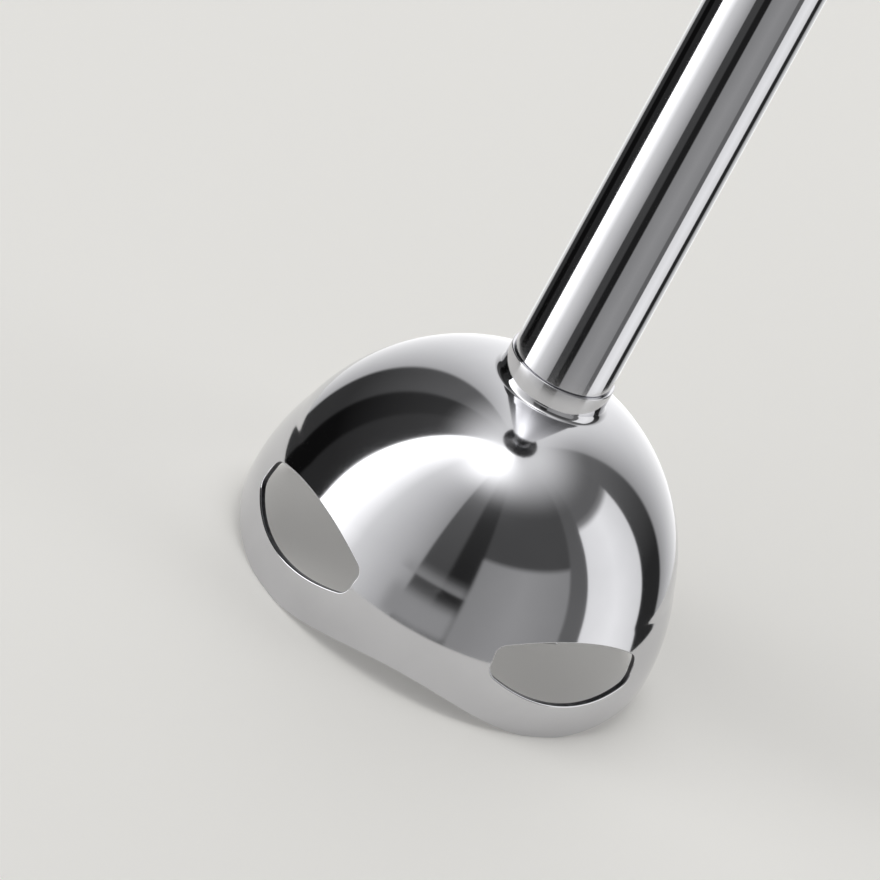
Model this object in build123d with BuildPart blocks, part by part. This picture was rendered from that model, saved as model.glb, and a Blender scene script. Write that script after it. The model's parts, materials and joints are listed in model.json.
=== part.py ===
"""Immersion blender: a steel blending foot with a bell guard, and a motor handle that locks onto it.

Millimetres, +Z up the shaft. The origin is on the shaft's axis, in the plane of the rim's lowest points,
so the blender stands on its bell. The bell's four windows are centred on +X, -X, +Y and -Y, the rim's
arches lie between them, and the handle's front, with its two buttons, faces -Y.
"""
import os
from math import cos, radians, sin, sqrt

from build123d import *

# ---- bell guard ----
sheet = 1.0
dome_radius = 32.3
dome_centre_z = 9.4
crease_z = 18.0
skirt_radius = 33.55
neck_radius = 8.45
neck_top_z = 44.7
neck_fillet = 1.2
rim_radius = 33.2
rim_wave = 1.875
rim_sink = 0.15
window_half_width = 13.3
window_top = (13.6, 16.7)
window_bottom = (9.45, 6.4)
window_corner = 1.95

# ---- foot ----
tube_radius = 8.0
tube_wall = 0.8
tube_top_z = 196.0
press_gap = 0.02
running_gap = 0.03
shaft_radius = 3.0
thread_radius = 2.5
bush_radius = 5.0
lower_bush_z = (38.0, 58.0)
upper_bush_z = (180.0, 195.0)
blade_z = 15.2
blade_thickness = 1.4
blade_width = 10.5
blade_length = 23.0
wing_root = 5.0
spacer_top_z = 26.4

# ---- coupling between foot and handle ----
collar_z = (172.0, 208.0)
collar_radius = 26.0
spigot_radius = (18.0, 21.0)
spigot_top_z = 218.0
tower_radius = 10.5
tower_top_z = 213.0
latch_z = (210.2, 214.6)
latch_width = 12.0
coupler_radius = 6.8
coupler_z = (197.5, 212.5)
hex_across_flats = 9.0
hex_play = 0.2

# ---- handle ----
handle_gap = 0.3
collar_wall_radius = 25.8
socket_top_z = 236.0
socket_floor = 4.0
trim_z = (240.0, 242.5)
housing_wall = 2.2
housing_profile = [(25.2, 242.5), (24.3, 262.0), (26.2, 300.0), (28.2, 340.0), (27.7, 364.0), (25.6, 382.0)]
release_travel = 3.0
release_z = (220.0, 234.0)
release_width = 15.0
button_travel = 2.5
button_width = 17.0
power_z = 355.0
power_height = 20.0
turbo_z = 334.0
turbo_height = 17.0
button_proud = 1.3
button_gap = 0.35
grip_proud = 0.8
grip_z = (256.0, 350.0)
screw_x = 17.5
screw_heights = (326.0, 371.0)
screw_radius = 1.5
boss_radius = 3.2
inlet_z = 366.0
inlet_bore = 3.6
dial_z = (386.3, 398.0)
dial_radius = 19.5

# ---- motor ----
motor_shaft_radius = 2.5
lower_bearing_z = (244.0, 250.0)
fan_z = (251.0, 257.5)
fan_radius = 14.0
stack_z = (266.0, 298.0)
commutator_z = (307.0, 317.0)
upper_bearing_z = (319.0, 325.0)
armature_radius = 9.6
air_gap = 0.5
stator_radius = 20.5
stator_half_depth = 18.0
bearing_radius = 7.0
bracket_radius = 19.6
tie_bolt_y = 15.9
board_y = -6.0

os.makedirs("parts", exist_ok=True)


def half_section(*corners):
    """A closed outline of straight sides in the X-Z plane, given as (radius, height) corners."""
    with BuildSketch(Plane.XZ) as section:
        with BuildLine():
            Polyline(*corners, close=True)
        make_face()
    return section.sketch


def tube_section(inner, outer, low, high):
    """The half section of a plain ring."""
    return half_section((inner, low), (outer, low), (outer, high), (inner, high))


def tube_section_plan(outer, inner, height):
    """A ring seen from above, at a height."""
    with BuildSketch(Plane.XY.offset(height)) as ring:
        Circle(outer)
        Circle(inner, mode=Mode.SUBTRACT)
    return ring.sketch


def barrel(inset):
    """The solid inside the handle's outer skin, moved in by inset."""
    low, high = housing_profile[0][1], housing_profile[-1][1]
    points = [(radius - inset, height) for radius, height in housing_profile]
    with BuildPart() as body:
        with BuildSketch(Plane.XZ):
            with BuildLine():
                side = Spline(*points)
                Polyline(side @ 0, (0, low), (0, high), side @ 1)
            make_face()
        revolve(axis=Axis.Z)
    return body.part


def save(builder, name):
    """Label one finished piece and write its STEP file."""
    builder.part.label = name
    export_step(builder.part, f"parts/{name}.step")


# ======================= blending foot =======================

# The bell: a domed sheet with a flared skirt, its open profile thickened by one sheet. The profile runs
# below the rim's plane and is trimmed flat there, so the bell stands on four flat lands.
def on_dome(radius):
    return dome_centre_z + sqrt(dome_radius**2 - radius**2)


crease_radius = sqrt(dome_radius**2 - (crease_z - dome_centre_z) ** 2)
fillet_centre = neck_radius + neck_fillet
fillet_centre_z = dome_centre_z + sqrt((dome_radius + neck_fillet) ** 2 - fillet_centre**2)
fillet_end = fillet_centre * dome_radius / (dome_radius + neck_fillet)
skirt_centre_z = crease_z - sqrt(skirt_radius**2 - crease_radius**2)
skirt_end_z = -1.0


def rim_height(angle):
    """How high the rim's edge stands at an angle, in radians, from the middle of an arch."""
    return rim_wave * (1 + cos(4 * angle)) - rim_sink


arch_end = radians(45)
arch_angles = [arch_end * step / 8 for step in range(-8, 9)]
with BuildPart() as arch_cutter:
    with BuildSketch(Plane.XZ):
        with BuildLine():
            crown = Spline([(rim_radius * sin(angle), rim_height(angle)) for angle in arch_angles])
            Polyline(crown @ 0, (-rim_radius * sin(arch_end), -2), (rim_radius * sin(arch_end), -2), crown @ 1)
        make_face()
    extrude(amount=2 * rim_radius)
with BuildPart() as window_cutter:
    with BuildSketch(Plane.XZ) as window:
        with BuildLine():
            top = ThreePointArc(
                (-window_half_width, window_top[0]), (0, window_top[1]), (window_half_width, window_top[0])
            )
            bottom = ThreePointArc(
                (-window_half_width, window_bottom[0]), (0, window_bottom[1]), (window_half_width, window_bottom[0])
            )
            Line(top @ 0, bottom @ 0)
            Line(top @ 1, bottom @ 1)
        make_face()
        fillet(window.vertices(), window_corner)
    extrude(amount=2 * rim_radius)
with BuildPart() as bell_guard:
    with BuildSketch(Plane.XZ):
        with BuildLine():
            neck_line = Line((neck_radius, neck_top_z), (neck_radius, fillet_centre_z))
            RadiusArc(neck_line @ 1, (fillet_end, on_dome(fillet_end)), -neck_fillet)
            dome_arc = RadiusArc((fillet_end, on_dome(fillet_end)), (crease_radius, crease_z), dome_radius)
            ThreePointArc(
                dome_arc @ 1,
                (skirt_radius, skirt_centre_z),
                (sqrt(skirt_radius**2 - (skirt_centre_z - skirt_end_z) ** 2), skirt_end_z),
            )
            offset(amount=sheet, side=Side.RIGHT)
        make_face()
        Rectangle(2 * rim_radius, 2 * neck_top_z, align=(Align.MIN, Align.MIN), mode=Mode.INTERSECT)
    revolve(axis=Axis.Z)
    with PolarLocations(0, 4, start_angle=45):
        add(arch_cutter.part, mode=Mode.SUBTRACT)
    with PolarLocations(0, 4):
        add(window_cutter.part, mode=Mode.SUBTRACT)
save(bell_guard, "bell_guard")

# The tube stands on the neck's edge and runs up into the coupling collar.
with BuildPart() as shaft_tube:
    extrude(tube_section_plan(tube_radius, tube_radius - tube_wall, neck_top_z), amount=tube_top_z - neck_top_z)
save(shaft_tube, "shaft_tube")

# The lower bearing holder hangs in the neck, with a flange under the dome and a pocket for the seal.
holder_radius = neck_radius - sheet - 0.35
flange_z = (33.0, 37.6)
with BuildPart() as lower_bearing_holder:
    revolve(
        half_section(
            (bush_radius + press_gap, 62.0),
            (bush_radius + press_gap, 38.0),
            (4.0, 38.0),
            (4.0, 33.4),
            (5.6, 33.4),
            (5.6, 28.0),
            (6.8, 28.0),
            (9.2, flange_z[0]),
            (9.2, flange_z[1]),
            (holder_radius, flange_z[1]),
            (holder_radius, 62.0),
        ),
        axis=Axis.Z,
    )
save(lower_bearing_holder, "lower_bearing_holder")

with BuildPart() as lower_bush:
    revolve(tube_section(shaft_radius + running_gap, bush_radius, *lower_bush_z), axis=Axis.Z)
    chamfer(lower_bush.edges().filter_by(GeomType.CIRCLE), 0.3)
save(lower_bush, "lower_bush")

# A lip seal keeps food out of the bush, and a pressed steel cover holds it in its pocket.
with BuildPart() as shaft_seal:
    revolve(
        half_section(
            (shaft_radius + running_gap, 30.6),
            (shaft_radius + 0.8, 29.4),
            (5.5, 29.4),
            (5.5, 33.3),
            (shaft_radius + running_gap, 33.3),
        ),
        axis=Axis.Z,
    )
save(shaft_seal, "shaft_seal")

with BuildPart() as seal_cover:
    revolve(tube_section(4.5, 5.58, 28.1, 29.3), axis=Axis.Z)
save(seal_cover, "seal_cover")

# The upper bearing holder fills the tube's top end.
with BuildPart() as upper_bearing_holder:
    revolve(
        tube_section(bush_radius + press_gap, tube_radius - tube_wall - press_gap, *upper_bush_z), axis=Axis.Z
    )
save(upper_bearing_holder, "upper_bearing_holder")

with BuildPart() as upper_bush:
    revolve(tube_section(shaft_radius + running_gap, bush_radius, *upper_bush_z), axis=Axis.Z)
    chamfer(upper_bush.edges().filter_by(GeomType.CIRCLE), 0.3)
save(upper_bush, "upper_bush")

# The coupling collar flares from the tube to the handle, with a spigot that the handle's latches hold.
with BuildPart() as coupling_collar:
    with BuildSketch(Plane.XZ):
        with BuildLine():
            flare = Spline((9.8, collar_z[0]), (12.6, 184.0), (20.6, 197.0), (25.2, 203.5))
            Polyline(
                flare @ 1,
                (collar_radius, 204.8),
                (collar_radius, collar_z[1]),
                (spigot_radius[1], collar_z[1]),
                (spigot_radius[1], spigot_top_z),
                (spigot_radius[0], spigot_top_z),
                (spigot_radius[0], collar_z[1] - 1.5),
                (tower_radius, collar_z[1] - 1.5),
                (tower_radius, tower_top_z),
                (coupler_radius + 0.5, tower_top_z),
                (coupler_radius + 0.5, tube_top_z),
                (tube_radius + press_gap, tube_top_z),
                (tube_radius + press_gap, collar_z[0] + 4.0),
                (9.3, collar_z[0] + 4.0),
                (9.3, collar_z[0] + 1.8),
                (tube_radius + press_gap, collar_z[0] + 1.8),
                (tube_radius + press_gap, collar_z[0]),
                (9.8, collar_z[0]),
            )
        make_face()
    revolve(axis=Axis.Z)
    for side in (-1, 1):
        with BuildSketch(Plane.YZ.offset(side * (spigot_radius[1] + 1))):
            with Locations((0, sum(latch_z) / 2)):
                Rectangle(latch_width, latch_z[1] - latch_z[0])
        extrude(amount=-side * 5.5, mode=Mode.SUBTRACT)
save(coupling_collar, "coupling_collar")

# An O-ring in the collar's mouth grips the tube, and a steel sleeve trims the collar's foot.
with BuildPart() as collar_seal:
    with BuildSketch(Plane.XZ):
        with Locations((8.66, collar_z[0] + 2.9)):
            Circle(0.62)
    revolve(axis=Axis.Z)
save(collar_seal, "collar_seal")

with BuildPart() as collar_trim:
    revolve(
        half_section((8.05, 168.5), (9.4, 168.5), (9.9, 169.2), (9.9, collar_z[0]), (8.05, collar_z[0])),
        axis=Axis.Z,
    )
save(collar_trim, "collar_trim")

# ======================= drive in the foot =======================

# One steel rod, stepped down to a threaded end below the blade.
with BuildPart() as drive_shaft:
    revolve(
        half_section(
            (0, 9.6),
            (thread_radius - 0.4, 9.6),
            (thread_radius, 10.0),
            (thread_radius, spacer_top_z),
            (shaft_radius, spacer_top_z),
            (shaft_radius, 204.0),
            (0, 204.0),
        ),
        axis=Axis.Z,
    )
save(drive_shaft, "drive_shaft")

# Four wings on one hub: two long ones bent down, two shorter ones bent up, each with a ground edge.
def blade_wing(reach, bend):
    """One wing along +X from the hub, bent up by an angle in degrees."""
    with BuildPart() as wing:
        with BuildSketch(Plane.YZ):
            with BuildLine():
                Polyline(
                    (-blade_width / 2, -blade_thickness / 2),
                    (blade_width / 2, -blade_thickness / 2),
                    (blade_width / 2 - 3.2, blade_thickness / 2),
                    (-blade_width / 2, blade_thickness / 2),
                    close=True,
                )
            make_face()
        extrude(amount=reach - wing_root)
        fillet(wing.edges().filter_by(Axis.Z).sort_by(Axis.X)[-1], 2.6)
    return Location((wing_root, 0, 0), (0, -bend, 0)) * wing.part


blade_wings = (
    (0, blade_length, -17),
    (90, blade_length - 2.5, 24),
    (180, blade_length, -17),
    (270, blade_length - 2.5, 24),
)
with BuildPart() as blade:
    with Locations((0, 0, blade_z)):
        Cylinder(6.6, blade_thickness)
    for turn, reach, bend in blade_wings:
        add(Location((0, 0, blade_z), (0, 0, turn)) * blade_wing(reach, bend))
    with Locations((0, 0, blade_z)):
        Cylinder(thread_radius, 4 * blade_thickness, mode=Mode.SUBTRACT)
save(blade, "blade")

blade_top = blade_z + blade_thickness / 2
blade_foot = blade_z - blade_thickness / 2
with BuildPart() as blade_spacer:
    revolve(tube_section(thread_radius, 4.2, blade_top, spacer_top_z), axis=Axis.Z)
    fillet(blade_spacer.edges().filter_by(GeomType.CIRCLE).group_by(Axis.Z)[-1].sort_by(SortBy.RADIUS)[-1], 0.5)
save(blade_spacer, "blade_spacer")

with BuildPart() as blade_nut:
    with BuildSketch(Plane.XY.offset(blade_foot)):
        RegularPolygon(4.0, 6, major_radius=False)
    extrude(amount=-3.4)
    with Locations((0, 0, blade_foot - 3.4)):
        Sphere(3.5)
    split(bisect_by=Plane.XY.offset(blade_foot), keep=Keep.BOTTOM)
    with BuildSketch(Plane.XY.offset(blade_foot)):
        Circle(thread_radius)
    extrude(amount=-(blade_foot - 9.5), mode=Mode.SUBTRACT)
save(blade_nut, "blade_nut")

# A plastic socket on the rod's top end takes the motor's hexagonal dog.
with BuildPart() as shaft_coupler:
    with Locations((0, 0, coupler_z[0])):
        Cylinder(
            coupler_radius, coupler_z[1] - coupler_z[0], align=(Align.CENTER, Align.CENTER, Align.MIN)
        )
    with BuildSketch(Plane.XY.offset(coupler_z[0])):
        Circle(shaft_radius)
    extrude(amount=204.0 - coupler_z[0], mode=Mode.SUBTRACT)
    with BuildSketch(Plane.XY.offset(205.2)):
        RegularPolygon(hex_across_flats / 2, 6, major_radius=False)
    extrude(amount=10, mode=Mode.SUBTRACT)
    chamfer(shaft_coupler.edges().group_by(Axis.Z)[-1].filter_by(GeomType.LINE), 0.6)
save(shaft_coupler, "shaft_coupler")

with BuildPart() as retaining_ring:
    revolve(tube_section(shaft_radius, 4.6, 195.3, 196.1), axis=Axis.Z)
    with Locations((0, 4, 195.7)):
        Box(3, 4, 2, mode=Mode.SUBTRACT)
save(retaining_ring, "retaining_ring")

# ======================= handle =======================

# The handle's collar takes the foot's spigot; its floor carries the motor.
with BuildPart() as handle_collar:
    revolve(
        half_section(
            (spigot_radius[1] + 0.3, collar_z[1] + handle_gap),
            (collar_wall_radius, collar_z[1] + handle_gap),
            (24.9, trim_z[0]),
            (6.2, trim_z[0]),
            (6.2, socket_top_z),
            (14.6, socket_top_z),
            (14.6, release_z[0] + 4.5),
            (16.6, release_z[0] + 4.5),
            (16.6, socket_top_z),
            (spigot_radius[1] + 0.3, socket_top_z),
        ),
        axis=Axis.Z,
    )
    for side in (-1, 1):
        with BuildSketch(Plane.YZ.offset(side * 18.0)):
            with Locations((0, sum(release_z) / 2)):
                RectangleRounded(
                    release_width + 2 * button_gap, release_z[1] - release_z[0] + 2 * button_gap, 3
                )
        extrude(amount=side * 10, mode=Mode.SUBTRACT)
    with PolarLocations(11.0, 4, start_angle=45):
        with Locations((0, 0, trim_z[0])):
            Cylinder(3.2, 3.98, align=(Align.CENTER, Align.CENTER, Align.MIN))
        with Locations((0, 0, trim_z[0])):
            Cylinder(screw_radius, 20, mode=Mode.SUBTRACT)
save(handle_collar, "handle_collar")

# Two sprung buttons, each with an arm over the spigot and a hook out into its recess.
arm_z = (release_z[0] + 0.3, release_z[0] + 3.4)
hook_z = (latch_z[0] + 0.3, latch_z[1] - 0.6)
for side, name in ((-1, "release_button_left"), (1, "release_button_right")):
    with BuildPart() as release_button:
        with BuildSketch(Plane.YZ.offset(side * 22.4)):
            with Locations((0, sum(release_z) / 2)):
                RectangleRounded(release_width, release_z[1] - release_z[0], 2.8)
        extrude(amount=side * 5.0)
        outer = release_button.faces().sort_by(Axis.X)[0 if side < 0 else -1]
        fillet(outer.edges(), 0.9)
        with BuildSketch(Plane.XZ.offset(-4.5)):
            with BuildLine():
                Polyline(
                    *[
                        (side * reach, height)
                        for reach, height in (
                            (22.4, arm_z[1]),
                            (14.2, arm_z[1]),
                            (14.2, hook_z[0]),
                            (20.0, hook_z[0] + 1.8),
                            (20.0, hook_z[1]),
                            (17.0, hook_z[1]),
                            (17.0, arm_z[0]),
                            (22.4, arm_z[0]),
                        )
                    ],
                    close=True,
                )
            make_face()
        extrude(amount=9.0)
    save(release_button, name)

# Small coil springs push the release buttons back out.
spring_x = (16.9, 22.1)
spring_z = 229.4
with BuildPart() as release_springs:
    for side in (-1, 1):
        start = Plane(origin=(side * spring_x[0], 0, spring_z), z_dir=(side, 0, 0))
        coil = start * Helix(pitch=1.3, height=spring_x[1] - spring_x[0], radius=2.0)
        with BuildSketch(Plane(origin=coil @ 0, z_dir=coil % 0)):
            Circle(0.25)
        sweep(path=coil, is_frenet=True)
save(release_springs, "release_springs")

# A steel ring trims the joint between the collar and the two housing shells.
with BuildPart() as trim_ring:
    revolve(tube_section(22.6, 25.5, *trim_z), axis=Axis.Z)
    fillet(trim_ring.edges().filter_by(GeomType.CIRCLE).group_by(SortBy.RADIUS)[-1], 0.5)
save(trim_ring, "trim_ring")

buttons = {
    "power_button": (power_z, power_height),
    "turbo_button": (turbo_z, turbo_height),
}
skin = barrel(0)
cavity = barrel(housing_wall)


def shell_half(front):
    """One half of the handle's skin, with its screw bosses, before its openings are cut."""
    with BuildPart() as half:
        add(skin)
        add(cavity, mode=Mode.SUBTRACT)
        for x in (-screw_x, screw_x):
            for height in screw_heights:
                with Locations((x, 0, height)):
                    Cylinder(boss_radius, 80, rotation=(90, 0, 0))
        add(skin, mode=Mode.INTERSECT)
        split(bisect_by=Plane.XZ, keep=Keep.TOP if front else Keep.BOTTOM)
    return half.part


def screw_hole(radius, near, far):
    """Holes along Y for the four housing screws, from one y to another."""
    with BuildPart() as holes:
        for x in (-screw_x, screw_x):
            for height in screw_heights:
                with Locations((x, (near + far) / 2, height)):
                    Cylinder(radius, abs(far - near), rotation=(90, 0, 0))
    return holes.part


screw_head_y = 16.5
screw_tip_y = -11.0
with BuildPart() as front_housing:
    add(shell_half(True))
    add(screw_hole(screw_radius, screw_tip_y - 1, 1), mode=Mode.SUBTRACT)
    for height, tall in buttons.values():
        with BuildSketch(Plane.XZ.offset(10)):
            with Locations((0, height)):
                RectangleRounded(button_width + 2 * button_gap, tall + 2 * button_gap, 5 + button_gap)
        extrude(amount=30, mode=Mode.SUBTRACT)
save(front_housing, "front_housing")

with BuildPart() as rear_housing:
    add(shell_half(False))
    add(screw_hole(screw_radius + 0.2, -1, 20), mode=Mode.SUBTRACT)
    add(screw_hole(2.9, screw_head_y, 40), mode=Mode.SUBTRACT)
    with Locations((0, 25, inlet_z)):
        Cylinder(5.3, 20, rotation=(90, 0, 0), mode=Mode.SUBTRACT)
save(rear_housing, "rear_housing")

with BuildPart() as housing_screws:
    for x in (-screw_x, screw_x):
        for height in screw_heights:
            with BuildSketch(Plane(origin=(x, screw_head_y, height), z_dir=(0, 1, 0))):
                Circle(2.7)
            extrude(amount=2.0)
            with BuildSketch(Plane(origin=(x, screw_head_y, height), z_dir=(0, -1, 0))):
                Circle(screw_radius)
            extrude(amount=screw_head_y - screw_tip_y)
            with Locations((x, screw_head_y + 2, height)):
                Box(0.8, 1.6, 3.4, mode=Mode.SUBTRACT)
                Box(3.4, 1.6, 0.8, mode=Mode.SUBTRACT)
save(housing_screws, "housing_screws")

# A soft pad is moulded round the back of the grip.
with BuildPart() as grip_pad:
    add(barrel(-grip_proud))
    add(barrel(-0.02), mode=Mode.SUBTRACT)
    with BuildSketch(Plane.XZ.offset(-8)):
        with Locations((0, sum(grip_z) / 2)):
            RectangleRounded(80, grip_z[1] - grip_z[0], 4)
    extrude(amount=-40, mode=Mode.INTERSECT)
    add(screw_hole(3.1, screw_head_y, 40), mode=Mode.SUBTRACT)
save(grip_pad, "grip_pad")

# The two trigger buttons follow the skin, a little proud of it, with a flange inside to keep them in.
plunger_y = -15.3
plunger_end_y = -12.0
for name, (height, tall) in buttons.items():
    with BuildPart() as button:
        add(barrel(-button_proud))
        with BuildSketch(Plane.XZ.offset(22.0)):
            with Locations((0, height)):
                RectangleRounded(button_width, tall, 5)
        extrude(amount=20, mode=Mode.INTERSECT)
        fillet(button.faces().sort_by(Axis.Y)[0].edges(), 0.8)
        with BuildSketch(Plane.XZ.offset(20.6)):
            with Locations((0, height)):
                RectangleRounded(button_width - 1.0, tall + 1.6, 3)
        extrude(amount=1.4)
        with BuildSketch(Plane.XZ.offset(-plunger_y)):
            with Locations((0, height)):
                Circle(2.2)
        extrude(amount=20.6 + plunger_y)
    save(button, name)

# ======================= top of the handle =======================

with BuildPart() as top_cap:
    revolve(
        half_section(
            (4.4, 380.0),
            (23.2, 380.0),
            (23.2, housing_profile[-1][1]),
            (25.5, housing_profile[-1][1]),
            (24.7, 384.8),
            (22.4, 386.0),
            (4.4, 386.0),
        ),
        axis=Axis.Z,
    )
    fillet(top_cap.edges().filter_by(GeomType.CIRCLE).group_by(Axis.Z)[-2], 1.0)
save(top_cap, "top_cap")

# The speed dial is a hollow knob with a fluted side and a pointer ridge, pressed on the potentiometer's shaft.
with BuildPart() as speed_dial:
    with BuildSketch(Plane.XZ):
        with BuildLine():
            crown = ThreePointArc((0, dial_z[1]), (10, dial_z[1] - 0.6), (17.6, dial_z[1] - 2.2))
            rim = ThreePointArc(crown @ 1, (19.1, dial_z[1] - 3.1), (dial_radius, dial_z[1] - 5.0))
            Polyline(
                rim @ 1,
                (dial_radius, dial_z[0]),
                (17.4, dial_z[0]),
                (17.4, dial_z[1] - 5.5),
                (5.6, dial_z[1] - 5.5),
                (5.6, dial_z[0]),
                (shaft_radius, dial_z[0]),
                (shaft_radius, 391.5),
                (0, 391.5),
                (0, dial_z[1]),
            )
        make_face()
    revolve(axis=Axis.Z)
    with PolarLocations(dial_radius + 0.75, 36):
        with Locations((0, 0, dial_z[0] - 1)):
            Cylinder(1.15, 8.0, align=(Align.CENTER, Align.CENTER, Align.MIN), mode=Mode.SUBTRACT)
    with BuildSketch(Plane.XY.offset(dial_z[1] - 3.0)):
        with Locations((0, -13.0)):
            SlotOverall(7.0, 1.8, rotation=90)
    extrude(amount=3.2)
save(speed_dial, "speed_dial")

pot_z = (367.0, 374.3)
plate_top_z = 375.9
with BuildPart() as dial_shaft:
    with Locations((0, 0, 371.0)):
        Cylinder(shaft_radius, 391.5 - 371.0, align=(Align.CENTER, Align.CENTER, Align.MIN))
save(dial_shaft, "dial_shaft")

with BuildPart() as potentiometer:
    revolve(
        half_section(
            (0, pot_z[0]),
            (8.0, pot_z[0]),
            (8.0, pot_z[1]),
            (4.4, pot_z[1]),
            (4.4, 379.0),
            (shaft_radius + running_gap, 379.0),
            (shaft_radius + running_gap, 370.9),
            (0, 370.9),
        ),
        axis=Axis.Z,
    )
save(potentiometer, "potentiometer")

with BuildPart() as dial_plate:
    revolve(tube_section(4.45, 22.4, pot_z[1], plate_top_z), axis=Axis.Z)
    with BuildSketch(Plane.XY.offset(pot_z[1])):
        with Locations((0, 19.0)):
            Rectangle(18, 10)
    extrude(amount=5, mode=Mode.SUBTRACT)
save(dial_plate, "dial_plate")

# ---- control electronics ----
board_z = (329.5, 365.5)
with BuildPart() as control_board:
    with BuildSketch(Plane.XZ.offset(-board_y - 1.6)):
        with Locations((0, sum(board_z) / 2)):
            RectangleRounded(26, board_z[1] - board_z[0], 1.0)
    extrude(amount=1.6)
    for x, z, wide, tall, deep in ((-7, 343, 8, 5, 5), (7, 343, 6, 9, 4), (-6, 352, 9, 6, 6), (6, 354, 7, 7, 7)):
        with BuildSketch(Plane.XZ.offset(-board_y - 1.6)):
            with Locations((x, z)):
                Rectangle(wide, tall)
        extrude(amount=-deep)
save(control_board, "control_board")

switch_front_y = -12.6
for name, (height, tall) in buttons.items():
    with BuildPart() as switch:
        with BuildSketch(Plane.XZ.offset(-board_y)):
            with Locations((0, height)):
                Rectangle(12, 7)
        extrude(amount=board_y - switch_front_y)
        with BuildSketch(Plane.XZ.offset(-switch_front_y)):
            with Locations((0, height)):
                Circle(1.7)
        extrude(amount=-3.2, mode=Mode.SUBTRACT)
    save(switch, name.replace("button", "switch"))
    with BuildPart() as plunger:
        with BuildSketch(Plane.XZ.offset(-plunger_y)):
            with Locations((0, height)):
                Circle(1.6)
        extrude(amount=plunger_y - plunger_end_y)
    save(plunger, name.replace("button", "plunger"))

# ---- cord inlet and clamp ----
inlet_profile = (
    (inlet_bore, 20.0),
    (6.6, 20.0),
    (6.6, 22.0),
    (5.2, 22.0),
    (5.2, 28.0),
    (7.2, 28.0),
    (7.2, 29.6),
    (5.6, 32.8),
    (inlet_bore, 32.8),
)
with BuildPart() as cord_inlet:
    with BuildSketch(Plane.XY):
        with BuildLine():
            Polyline(*inlet_profile, close=True)
        make_face()
    revolve(axis=Axis.Y)
cord_inlet.part.position = (0, 0, inlet_z)
save(cord_inlet, "cord_inlet")

clamp_y = (10.5, 15.5)
with BuildPart() as cord_clamp:
    with BuildSketch(Plane.XZ.offset(-clamp_y[0])):
        with Locations((0, inlet_z - 5.5)):
            RectangleRounded(24, 9, 1.5)
        with Locations((0, inlet_z)):
            Circle(inlet_bore, mode=Mode.SUBTRACT)
        with Locations((-9, inlet_z - 5.5), (9, inlet_z - 5.5)):
            Circle(1.3, mode=Mode.SUBTRACT)
    extrude(amount=clamp_y[0] - clamp_y[1])
save(cord_clamp, "cord_clamp")

with BuildPart() as clamp_screws:
    for x in (-9, 9):
        with BuildSketch(Plane.XZ.offset(-clamp_y[0])):
            with Locations((x, inlet_z - 5.5)):
                Circle(2.3)
        extrude(amount=1.8)
        with BuildSketch(Plane.XZ.offset(-clamp_y[0])):
            with Locations((x, inlet_z - 5.5)):
                Circle(1.3)
        extrude(amount=-9.0)
save(clamp_screws, "clamp_screws")

# ======================= motor =======================

def cap_screw(x, y, low, high, head, radius):
    """A screw along Z with its head at the low end."""
    with BuildPart() as screw:
        with Locations((x, y, low)):
            Cylinder(head, 2.4, align=(Align.CENTER, Align.CENTER, Align.MAX))
            Cylinder(radius, high - low, align=(Align.CENTER, Align.CENTER, Align.MIN))
        with BuildSketch(Plane((x, y, low - 2.4))):
            RegularPolygon(head * 0.5, 6)
        extrude(amount=1.2, mode=Mode.SUBTRACT)
    return screw.part


with BuildPart() as motor_screws:
    for turn in (45, 135, 225, 315):
        add(
            cap_screw(
                11 * cos(radians(turn)), 11 * sin(radians(turn)), socket_top_z, 248.0, 2.7, screw_radius
            )
        )
save(motor_screws, "motor_screws")

with BuildPart() as lower_bracket:
    revolve(
        half_section(
            (4.6, lower_bearing_z[0]),
            (bracket_radius, lower_bearing_z[0]),
            (bracket_radius, 249.0),
            (9.4, 249.0),
            (9.4, lower_bearing_z[1]),
            (bearing_radius + press_gap, lower_bearing_z[1]),
            (bearing_radius + press_gap, lower_bearing_z[0] + 0.6),
            (4.6, lower_bearing_z[0] + 0.6),
        ),
        axis=Axis.Z,
    )
    with PolarLocations(11, 4, start_angle=45):
        Cylinder(screw_radius, 600, mode=Mode.SUBTRACT)
    with Locations((0, tie_bolt_y), (0, -tie_bolt_y)):
        Cylinder(screw_radius + 0.1, 600, mode=Mode.SUBTRACT)
    with Locations((14, 0), (-14, 0)):
        Cylinder(3.6, 600, mode=Mode.SUBTRACT)
save(lower_bracket, "lower_bracket")

with BuildPart() as upper_bracket:
    revolve(
        half_section(
            (4.6, 317.6),
            (21.0, 317.6),
            (21.0, 322.2),
            (9.4, 322.2),
            (9.4, upper_bearing_z[1]),
            (bearing_radius + press_gap, upper_bearing_z[1]),
            (bearing_radius + press_gap, upper_bearing_z[0]),
            (4.6, upper_bearing_z[0]),
        ),
        axis=Axis.Z,
    )
    with Locations((0, tie_bolt_y), (0, -tie_bolt_y)):
        Cylinder(screw_radius + 0.1, 700, mode=Mode.SUBTRACT)
    with PolarLocations(14.6, 4, start_angle=45):
        Cylinder(3.4, 700, mode=Mode.SUBTRACT)
save(upper_bracket, "upper_bracket")

with BuildPart() as motor_bearings:
    revolve(
        tube_section(motor_shaft_radius + running_gap, bearing_radius, lower_bearing_z[0] + 0.6, lower_bearing_z[1]),
        axis=Axis.Z,
    )
    revolve(tube_section(motor_shaft_radius + running_gap, bearing_radius, *upper_bearing_z), axis=Axis.Z)
    chamfer(motor_bearings.edges().filter_by(GeomType.CIRCLE), 0.3)
save(motor_bearings, "motor_bearings")

with BuildPart() as lower_mount:
    revolve(tube_section(bracket_radius + press_gap, 22.2, 244.2, 249.8), axis=Axis.Z)
    fillet(lower_mount.edges(), 0.6)
save(lower_mount, "lower_mount")

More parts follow.
